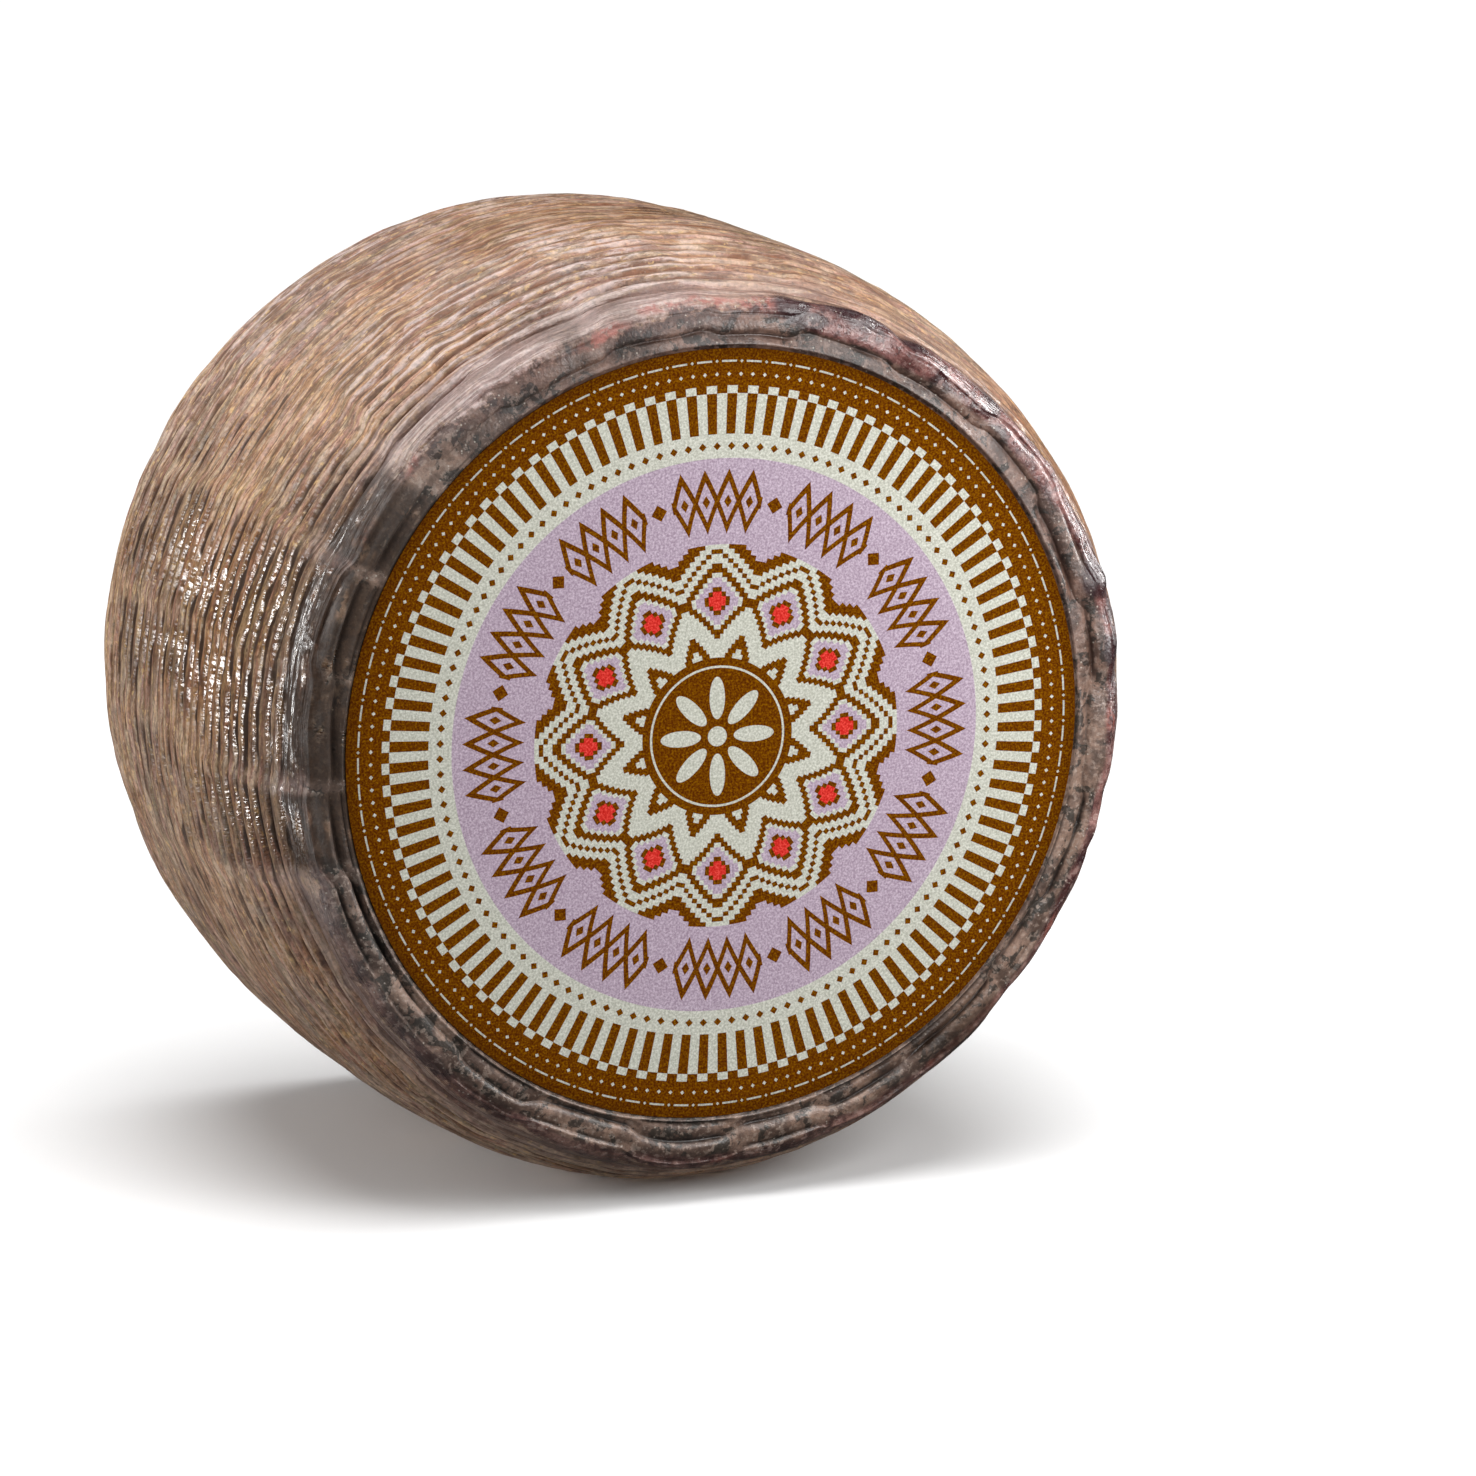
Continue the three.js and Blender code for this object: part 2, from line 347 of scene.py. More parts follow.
from_lip = (np.minimum(arc, LENGTH - arc) - RIB_START_ARC) / (14 * MM)
calm = 0.35 + 0.65 * ease(from_lip)
sway = RIB_SWAY * (0.5 - arch) + RIB_STEP * alternate + 0.5 * MM * per_span(12, 14, arc, stake)
sway = ring_sway[:, None] * calm * sway
jog = ring_jog[:, None] * FOLD_STEP * (0.7 * alternate + 0.35 * per_span(13, 40, arc, stake))
jog = jog + ring_jog[:, None] * (0.7 * MM * sheet(33, 40, 26, arc, angle) + 0.3 * MM * sheet(20, 50, 60, arc, angle))
place_arc = arc + sway + jog + 0.3 * MM * sheet(14, 60, 60, arc, angle) * rib_share

# %% [markdown]
# Lumps and stains on the lip
#
# The lip isn't even: here a fold is knotted into a dark purple lump, there the oil has drawn a
# rusty stain. A few are listed by their angle round the rim and their arc, and the
# rest are drawn at random for both lips.

# %% Places of lumps and stains
LUMPS = [(70.0, 85.6, 4.0, 1.0), (79.0, 85.2, 2.6, 1.0), (60.0, 86.0, 3.0, 0.5), (47.0, 87.0, 3.0, 0.5),
         (36.0, 85.6, 3.4, 0.3)]
RUST = [(106.0, 83.4, 4.5, 1.0), (98.0, 85.4, 4.5, 0.8), (90.5, 85.8, 4.5, 0.9), (84.0, 85.4, 4.0, 0.9),
        (149.0, 84.6, 4.0, 0.5), (137.0, 83.4, 3.2, 0.5), (40.0, 84.4, 5.0, 0.6), (232.0, 86.0, 5.0, 0.4)]


# Round the rim: degrees, how far the dark folds reach in mm, lavender bloom that is partly
# painted sheen, purple of the lip, and how much the second fold is grown into the lip
RIM_TONES = [
    (0, 1.2, 0.2, 1.0, 0.3), (22, 1.5, 0.2, 1.0, 0.2), (38, 1.8, 0.2, 1.0, 1.0), (55, 1.8, 0.2, 1.0, 1.0),
    (72, 1.6, 0.3, 1.0, 1.0), (80, 0.6, 0.45, 0.8, 0.5), (86, -1.0, 0.6, 0.5, 0.1), (100, -3.0, 1.0, 0.15, 0.0),
    (126, -2.6, 1.0, 0.1, 0.0), (144, -0.2, 0.5, 0.3, 0.0), (165, 0.6, 0.35, 0.3, 0.0), (210, 0.6, 0.4, 0.3, 0.0),
    (300, 1.0, 0.2, 0.6, 0.2)]


def drawn_spots(seed, number, low_arc, high_arc, wide):
    random = np.random.default_rng(seed)
    return [(random.uniform(250, 380), random.uniform(low_arc, high_arc), random.uniform(1.5, wide),
             random.uniform(0.4, 1.0)) for _ in range(number)]


def spots(places, half_height):
    """How much each point of the print lies in one of the spots, from 0 to 1."""
    total = np.zeros((len(ring_arc), COLUMNS))
    for degrees, spot_arc, half_width, strength in places:
        apart = (np.degrees(angle) - degrees + 180) % 360 - 180
        near = (apart / half_width) ** 2 + ((arc / MM - spot_arc) / half_height) ** 2
        total = np.maximum(total, strength * np.exp(-near))
    return total


def at_back(places):
    return [(-degrees, LENGTH / MM - spot_arc, wide, strength) for degrees, spot_arc, wide, strength in places]


front_lumps = LUMPS + drawn_spots(31, 4, 83.5, 86.5, 3.0)
front_rust = RUST + drawn_spots(32, 5, 82.5, 86.0, 5.0)
lumps = spots(front_lumps + at_back(front_lumps), 2.8)
rust = spots(front_rust + at_back(front_rust), 1.5)
print(len(front_lumps), "lumps and", len(front_rust), "stains on each lip")

# %% Press the print
turn_mm = arc / MM
wear = 1 + 0.25 * np.sin(3 * angle + 0.09 * turn_mm) + 0.15 * np.sin(7 * angle - 0.05 * turn_mm)
patch = np.clip(1.0 + 0.65 * sheet(15, 12, 26, arc, angle) + 0.3 * per_span(21, 12, arc, stake), 0.35, 1.5)
rough = 1 + 0.4 * sheet(16, 110, 60, arc, angle)
near_edge = np.exp(-np.maximum(np.minimum(arc, LENGTH - arc) / MM - 92, 0) / 14)
print_strength = wear * patch * rough * (0.42 + 0.65 * pressed_share) * (0.9 + 0.45 * near_edge)
light_lip = ease((np.cos(angle - math.radians(65)) - 0.26) / 0.45)
pillow = (0.5 + 0.5 * pressed_share) * (1 + 0.5 * per_span(17, 60, arc, stake))
pillow = pillow * (1 + 0.5 * sheet(28, 60, 90, arc, angle)) * (1 - 0.2 * light_lip)
strength = rib_share * print_strength + fold_share * pillow + (1 - np.clip(rib_share + fold_share, 0, 1))
lift = ring_lift[:, None] * strength
lift = lift + rib_share * 0.12 * MM * (arch - 0.5) + rib_share * 0.18 * MM * sheet(18, 14, 40, arc, angle)
lift = lift + rib_share * 0.1 * MM * sheet(22, 150, 160, arc, angle)
lift = lift + fold_share * (0.3 * MM * (arch - 0.6) + 0.15 * MM * sheet(23, 110, 120, arc, angle))
rim_degrees = [row[0] for row in RIM_TONES]
border_shift, bloom_and_sheen_share, purple_share, grown = [
    np.interp(np.degrees(angle), rim_degrees, [row[column] for row in RIM_TONES], period=360)
    for column in (1, 2, 3, 4)]
outer_crease = np.exp(-((np.minimum(arc, LENGTH - arc) - LIP_CREASE_ARC) / (0.5 * MM)) ** 2)
shallow = (1 - light_lip) * outer_crease
lift = lift + 0.5 * FOLD_DEPTH * shallow
near_lip = np.exp(-((np.minimum(arc, LENGTH - arc) - LIP_ARC) / (2 * LIP_WIDTH)) ** 2)
knots = 0.7 * sheet(19, 70, 70, arc, angle) + 0.4 * sheet(24, 130, 150, arc, angle)
bold = (1 + 0.9 * light_lip) * (0.4 + 0.6 * purple_share)
lift = lift + near_lip * bold * (0.5 * MM * knots + 0.15 * MM)
lift = lift + 1.15 * MM * lumps
from_middle = np.minimum(arc, LENGTH - arc)
grown = grown * np.clip(0.9 + 0.5 * sheet(36, 8, 48, arc, angle), 0, 1)
lift = lift + 0.9 * MM * grown * np.exp(-((from_middle - LIP_CREASE_ARC) / (0.9 * MM)) ** 2)
lift = lift + 0.8 * MM * grown * np.exp(-((from_middle - 84 * MM) / (2.9 * MM)) ** 2)
seat_crease = np.exp(-((np.minimum(arc, LENGTH - arc) - SEAT_RADIUS - 0.35 * MM) / (0.35 * MM)) ** 2)
seat_crease = seat_crease * np.clip(alternate, 0, 1) * (1 - light_lip)
lift = lift - 0.75 * MM * seat_crease * (arc > SEAT_RADIUS + 0.1 * MM)

radius, along, out_r, out_y = on_outline(place_arc)
swell = sum(size * np.cos(waves * angle + phase) for waves, size, phase in RIM_SWELLS)
outside = ease((radius - SEAT_RADIUS) / (EDGE_RADIUS - SEAT_RADIUS))
radius = radius + out_r * lift + swell * outside
along = along + out_y * lift
x = radius * np.cos(angle)
y = along + 0 * angle
z = np.maximum(radius * np.sin(angle) + AXIS_HEIGHT, 0)
pressed = np.stack([x, y, z], axis=-1)

mesh = rind.data
count = len(mesh.vertices)
numbers = np.empty(count, dtype=np.int32)
mesh.attributes["ring"].data.foreach_get("value", numbers)
points = np.empty(count * 3)
mesh.vertices.foreach_get("co", points)
points = points.reshape(-1, 3)
columns = np.round(np.arctan2(points[:, 2] - AXIS_HEIGHT, points[:, 0]) / TURN * COLUMNS).astype(int) % COLUMNS
inner = (numbers > 0) & (numbers <= len(ring_table))
points[inner] = pressed[numbers[inner] - 1, columns[inner]]
mesh.vertices.foreach_set("co", points.ravel())
mesh.update()
print("pressed", int(inner.sum()), "points")

# %% [markdown]
# Values for the paint
#
# The rind's colours follow the print: grooves and creases are painted darker, partly as their
# own colour and partly as painted shade, the folds are slate, worn places are tan, and the
# streaks run along the ribs. Those values are stored on the mesh as attributes, because no plain
# coordinate can follow a weave.

# %% Store the paint values
def store(name, values, fill):
    whole = np.full(count, fill, dtype=np.float32)
    whole[inner] = (values + 0 * place_arc)[numbers[inner] - 1, columns[inner]]
    mesh.attributes.new(name, "FLOAT", "POINT").data.foreach_set("value", whole)


depth_share = np.clip(strength * (1 - 0.5 * shallow), 0, 1.2)
filled = grown * np.exp(-((from_middle - LIP_CREASE_ARC) / (1.3 * MM)) ** 2)
back_face = ease((turn_mm - (LENGTH - SEAT_RADIUS) / MM) / 4)
# How dark each groove and crease is painted, by its depth: partly the rind's colour, partly painted shade.
groove_darkness = ring_groove[:, None] * depth_share * (1 - 0.9 * filled) * (1 - 0.35 * back_face)
store("groove", np.maximum(groove_darkness, seat_crease), 0.0)
from_front = (place_arc - SEAT_RADIUS) / MM
from_back = (LENGTH - SEAT_RADIUS - place_arc) / MM
reach = np.where(arc < LENGTH / 2, from_front, np.where(from_back > 0, from_back, 3.0 - 2.5 * from_back))
store("reach", reach, 60.0)
store("shift", border_shift, 0.0)
store("bloom_and_sheen", bloom_and_sheen_share, 0.0)
purple_from = 6.3 - 3.3 * grown + 0.7 * sheet(37, 8, 90, arc, angle)
purple = purple_share * ease((reach - purple_from) / 1.0)
store("purple", purple, 0.0)
even_share = np.linspace(0, 1, 400)
crowded_share = even_share - RIB_CROWDING * np.sin(TURN * even_share) / TURN
ribs_from = (arc - RIB_START_ARC) / (LENGTH - 2 * RIB_START_ARC)
back_ribs = np.maximum(arc - LENGTH + SEAT_RADIUS, 0) / BACK_RIB_PITCH
store("rib", SIDE_RIBS * np.interp(ribs_from, crowded_share, even_share) + back_ribs, 0.0)
store("print", np.clip(print_strength, 0, 1.5) * rib_share, 0.0)
store("tone", 0.6 * per_span(25, 9, arc, stake) + 0.4 * sheet(26, 16, 36, arc, angle), 0.0)
store("dark", 1 - light_lip, 0.0)
oiled_turn = (np.degrees(angle) - 168 + 180) % 360 - 180
right_turn = (np.degrees(angle) - 30 + 180) % 360 - 180
strip = np.exp(-(right_turn / 36) ** 2) * ease((turn_mm - 86.5) / 2.5) * ease((118 - turn_mm) / 22)
store("strip", strip, 0.0)
store("matt", np.maximum(np.exp(-(oiled_turn / 42) ** 2), 0.8 * np.maximum(strip, back_face)), 0.8)
oil = np.exp(-(oiled_turn / 24) ** 2) * np.exp(-(np.maximum(turn_mm - 88, 0) / 60) ** 2)
oil = oil + 0.35 * np.maximum(sheet(29, 10, 20, arc, angle), 0)
oil = oil * (0.3 + 0.9 * pressed_share * ease((patch - 0.3) / 0.7))
oil = np.clip(oil * (1.3 + 0.7 * sheet(35, 24, 44, arc, angle)), 0, 1) * (1 - 0.85 * back_face)
store("oil", oil, 0.0)
store("lump", lumps, 0.0)
store("knots", knots, 0.0)
store("rust", rust, 0.0)
follow = np.zeros((count, 3), dtype=np.float32)
ring_turn = 12.0
weave = np.stack([ring_turn * np.cos(angle) + 0 * arc, (arc - 0.6 * sway) / MM + 0 * angle,
                  ring_turn * np.sin(angle) + 0 * arc], axis=-1)
follow[inner] = weave[numbers[inner] - 1, columns[inner]]
mesh.attributes.new("weave", "FLOAT_VECTOR", "POINT").data.foreach_set("vector", follow.ravel())
mesh.attributes.remove(mesh.attributes["ring"])
deselect_everything()
rind.select_set(True)
bpy.context.view_layer.objects.active = rind
bpy.ops.object.shade_smooth()
bpy.ops.object.origin_set(type="ORIGIN_CURSOR")
print("paint values:", [a.name for a in mesh.attributes])

# %% [markdown]
# The paper label
#
# The label is one round sheet of paper. It starts as a filled circle, gets inset rings and is
# extruded to the paper's thickness.

# %% Cut the label
LABEL_SIDES = 192


def label_disc():
    deselect_everything()
    bpy.ops.mesh.primitive_circle_add(vertices=LABEL_SIDES, radius=LABEL_RADIUS, fill_type="NGON",
                                      location=(0, SEAT_Y, AXIS_HEIGHT), rotation=(math.pi / 2, 0, 0))
    disc = bpy.context.object
    disc.name = "label_paper"
    bpy.ops.object.transform_apply(location=True, rotation=True, scale=True)
    bpy.ops.object.mode_set(mode="EDIT")
    bpy.ops.mesh.select_all(action="SELECT")
    for width in (0.5, 1.5, 6, 18, 24, 22):
        bpy.ops.mesh.inset(thickness=width * MM)
    bpy.ops.mesh.select_all(action="SELECT")
    bpy.ops.mesh.extrude_region_move(TRANSFORM_OT_translate={"value": (0, -LABEL_THICKNESS, 0)})
    bpy.ops.mesh.select_all(action="SELECT")
    bpy.ops.mesh.normals_make_consistent(inside=False)
    bpy.ops.object.mode_set(mode="OBJECT")
    return disc


label = label_disc()
print("label:", len(label.data.vertices), "points")

# %% [markdown]
# Helpers for the finishes
#
# A material is a small graph of nodes. These helpers add a node, join its inputs and hand back
# its output, so that the finishes below read like short sums.

# %% Node helpers
def linear(red, green, blue):
    """A colour as seen on a screen, 0 to 255, in the linear values that shaders use."""
    channels = [c / 255 for c in (red, green, blue)]
    return tuple(c / 12.92 if c <= 0.04045 else ((c + 0.055) / 1.055) ** 2.4 for c in channels) + (1.0,)


class Graph:
    def __init__(self, tree):
        self.tree = tree

    def add(self, kind, **settings):
        node = self.tree.nodes.new(kind)
        for name, value in settings.items():
            setattr(node, name, value)
        return node

    def join(self, value, socket):
        if isinstance(value, bpy.types.NodeSocket):
            self.tree.links.new(value, socket)
        elif value is not None:
            socket.default_value = value

    def math(self, operation, first, second=None, third=None, clamp=False):
        node = self.add("ShaderNodeMath", operation=operation, use_clamp=clamp)
        for value, socket in zip((first, second, third), node.inputs):
            self.join(value, socket)
        return node.outputs[0]

    def ramp(self, value, low, high, to_low=0.0, to_high=1.0, smooth=True):
        node = self.add("ShaderNodeMapRange", interpolation_type="SMOOTHSTEP" if smooth else "LINEAR")
        for given, socket in zip((value, low, high, to_low, to_high), node.inputs[:5]):
            self.join(given, socket)
        return node.outputs[0]

    def mix(self, share, first, second, blend="MIX"):
        node = self.add("ShaderNodeMix", data_type="RGBA", blend_type=blend)
        self.join(share, node.inputs[0])
        self.join(first, node.inputs[6])
        self.join(second, node.inputs[7])
        return node.outputs[2]

    def noise(self, place, scale, detail=3.0, roughness=0.55, distortion=0.0):
        node = self.add("ShaderNodeTexNoise")
        self.join(place, node.inputs["Vector"])
        for name, value in (("Scale", scale), ("Detail", detail), ("Roughness", roughness), ("Distortion", distortion)):
            self.join(value, node.inputs[name])
        return node.outputs[0]

    def mapped(self, place, scale=(1, 1, 1), location=(0, 0, 0)):
        node = self.add("ShaderNodeMapping")
        self.join(place, node.inputs["Vector"])
        self.join(scale, node.inputs["Scale"])
        self.join(location, node.inputs["Location"])
        return node.outputs[0]

    def bump(self, height, distance, strength=1.0, normal=None):
        node = self.add("ShaderNodeBump")
        self.join(height, node.inputs["Height"])
        self.join(distance, node.inputs["Distance"])
        self.join(strength, node.inputs["Strength"])
        self.join(normal, node.inputs["Normal"])
        return node.outputs[0]

    def attribute(self, name, output="Fac"):
        return self.add("ShaderNodeAttribute", attribute_name=name).outputs[output]

    def object_place(self):
        return self.add("ShaderNodeTexCoord").outputs["Object"]


def new_material(name):
    material = bpy.data.materials.new(name)
    material.use_nodes = True
    graph = Graph(material.node_tree)
    return material, graph, material.node_tree.nodes["Principled BSDF"]


# %% [markdown]
# A shared speckle
#
# Both the rind and the printed paper are speckled: the rind with grains of dried oil and mould,
# the paper with the fine grain of its print. One node group makes both. It takes a place and a
# grain size, and puts out a fine mottle and sparse specks.

# %% Speckle group
def speckle_group():
    group = bpy.data.node_groups.new("speckle", "ShaderNodeTree")
    face = group.interface
    face.new_socket(name="Place", in_out="INPUT", socket_type="NodeSocketVector")
    face.new_socket(name="Grains per metre", in_out="INPUT", socket_type="NodeSocketFloat")
    face.new_socket(name="Speck size", in_out="INPUT", socket_type="NodeSocketFloat")
    face.new_socket(name="Mottle", in_out="OUTPUT", socket_type="NodeSocketFloat")
    face.new_socket(name="Specks", in_out="OUTPUT", socket_type="NodeSocketFloat")
    graph = Graph(group)
    given = graph.add("NodeGroupInput").outputs
    result = graph.add("NodeGroupOutput").inputs
    mottle = graph.noise(given["Place"], given["Grains per metre"], 2.0, 0.6)
    cells = graph.add("ShaderNodeTexVoronoi", feature="F1")
    graph.join(given["Place"], cells.inputs["Vector"])
    graph.join(given["Grains per metre"], cells.inputs["Scale"])
    chance = graph.add("ShaderNodeSeparateColor")
    graph.join(cells.outputs["Color"], chance.inputs[0])
    dot = graph.ramp(cells.outputs["Distance"], given["Speck size"], 0.0)
    specks = graph.math("MULTIPLY", dot, graph.ramp(chance.outputs[0], 0.82, 0.9))
    graph.join(mottle, result["Mottle"])
    graph.join(specks, result["Specks"])
    return group


speckle = speckle_group()


def add_speckle(graph, place, grains, size):
    node = graph.add("ShaderNodeGroup", node_tree=speckle)
    graph.join(place, node.inputs["Place"])
    graph.join(grains, node.inputs["Grains per metre"])
    graph.join(size, node.inputs["Speck size"])
    return node.outputs["Mottle"], node.outputs["Specks"]


print("group:", speckle.name)

# %% [markdown]
# The rind's finish
#
# The side is brown where the print is deep and tan where it is worn, with flecks of ochre,
# cream and dark brown, grey clouds and red-brown grooves, whose darkness is partly painted
# shade; thin light lines on the rib crests are painted highlights. The shoulder has a mauve
# bloom that is partly painted sheen. The folds are a mottled slate, with creases painted dark
# as shade, purple lumps and rusty stains. Light and shade are also painted by height: lighter
# near the floor, a little darker at the top. The rind was rubbed with oil, so it shines in
# broken glints.

# %% Rind material
def side_colour(graph, place, weave, values):
    clouds = graph.noise(place, 24.0, 3.0, 0.6, 0.6)
    tan = graph.ramp(graph.math("ADD", clouds, graph.math("MULTIPLY", values["tone"], 0.1)), 0.42, 0.58)
    base = graph.mix(tan, linear(150, 115, 94), linear(188, 138, 98))
    grey = graph.noise(graph.mapped(place, location=(0.4, 0.2, 0.7)), 34.0, 4.0, 0.6, 0.4)
    base = graph.mix(graph.ramp(grey, 0.52, 0.6, 0.0, 0.55), base, linear(138, 120, 112))
    worn = graph.ramp(values["print"], 0.75, 0.2)
    base = graph.mix(graph.math("MULTIPLY", worn, 0.4), base, linear(178, 137, 98))
    bands = graph.noise(graph.mapped(weave, (0.8, 0.7, 0.8)), 1.0, 3.0, 0.6)
    base = graph.mix(graph.ramp(bands, 0.52, 0.62, 0.0, 0.6), base, linear(176, 126, 80))
    base = graph.mix(graph.ramp(bands, 0.48, 0.38, 0.0, 0.5), base, linear(104, 79, 66))
    tints = graph.noise(graph.mapped(weave, (0.5, 0.6, 0.5), (9.0, 4.0, 6.0)), 1.0, 3.0, 0.65)
    base = graph.mix(graph.ramp(tints, 0.52, 0.6, 0.0, 0.55), base, linear(140, 122, 88))
    return graph.mix(graph.ramp(tints, 0.48, 0.4, 0.0, 0.55), base, linear(184, 128, 114))


def flecked(graph, place, weave, base):
    streaks = graph.noise(graph.mapped(weave, (0.9, 0.55, 0.9)), 1.0, 5.0, 0.75)
    base = graph.mix(graph.ramp(streaks, 0.51, 0.59, 0.0, 0.6), base, linear(216, 182, 152))
    base = graph.mix(graph.ramp(streaks, 0.49, 0.41, 0.0, 0.7), base, linear(118, 76, 48))
    crumbs = graph.noise(graph.mapped(weave, (4.0, 0.9, 4.0), (3.0, 1.0, 5.0)), 1.0, 2.0, 0.6)
    base = graph.mix(graph.ramp(crumbs, 0.6, 0.67, 0.0, 0.6), base, linear(226, 184, 124))
    return graph.mix(graph.ramp(crumbs, 0.42, 0.35, 0.0, 0.5), base, linear(82, 56, 42))


def fold_colour(graph, place, stains, values):
    clouds = graph.noise(graph.mapped(place, location=(0.9, 0.1, 0.2)), 110.0, 3.0, 0.6, 0.5)
    slate = graph.mix(graph.ramp(clouds, 0.42, 0.58), linear(98, 80, 72), linear(150, 126, 114))
    blots = graph.noise(graph.mapped(place, location=(0.3, 0.3, 0.9)), 230.0, 4.0, 0.65, 0.4)
    blots = graph.math("ADD", blots, graph.math("MULTIPLY", values["dark"], 0.01))
    slate = graph.mix(graph.ramp(blots, 0.53, 0.57, 0.0, 0.85), slate, linear(50, 48, 44))
    film = graph.noise(place, 700.0, 4.0, 0.65)
    slate = graph.mix(graph.ramp(film, 0.53, 0.6, 0.0, 0.5), slate, linear(178, 162, 154))
    slate = graph.mix(graph.ramp(film, 0.46, 0.38, 0.0, 0.3), slate, linear(58, 48, 44))
    knots = graph.math("MULTIPLY_ADD", graph.math("SUBTRACT", clouds, 0.5), 5.0, values["knots"])
    flesh = graph.mix(graph.ramp(knots, -0.6, 0.5), linear(74, 39, 42), linear(164, 120, 118))
    flesh = graph.mix(graph.ramp(film, 0.47, 0.39, 0.0, 0.6), flesh, linear(66, 36, 38))
    flesh = graph.mix(graph.ramp(film, 0.54, 0.62, 0.0, 0.5), flesh, linear(206, 178, 176))
    # Painted sheen: the flesh is made lighter where the matt value is high.
    flesh = graph.mix(graph.ramp(values["matt"], 0.3, 0.8, 0.0, 0.6), flesh, linear(216, 184, 178))
    slate = graph.mix(values["purple"], slate, flesh)
    # Painted shade: the fold creases are painted dark brown to near-black, darkest on the dark side of the rim.
    crease_shade = graph.mix(values["dark"], linear(92, 66, 54), linear(36, 27, 23))
    slate = graph.mix(graph.ramp(values["groove"], 0.4, 1.0, 0.0, 0.85), slate, crease_shade)
    shade = graph.mix(values["dark"], (0.74, 0.62, 0.57, 1), (1.0, 0.93, 0.85, 1))
    return graph.mix(1.0, slate, shade, "MULTIPLY")


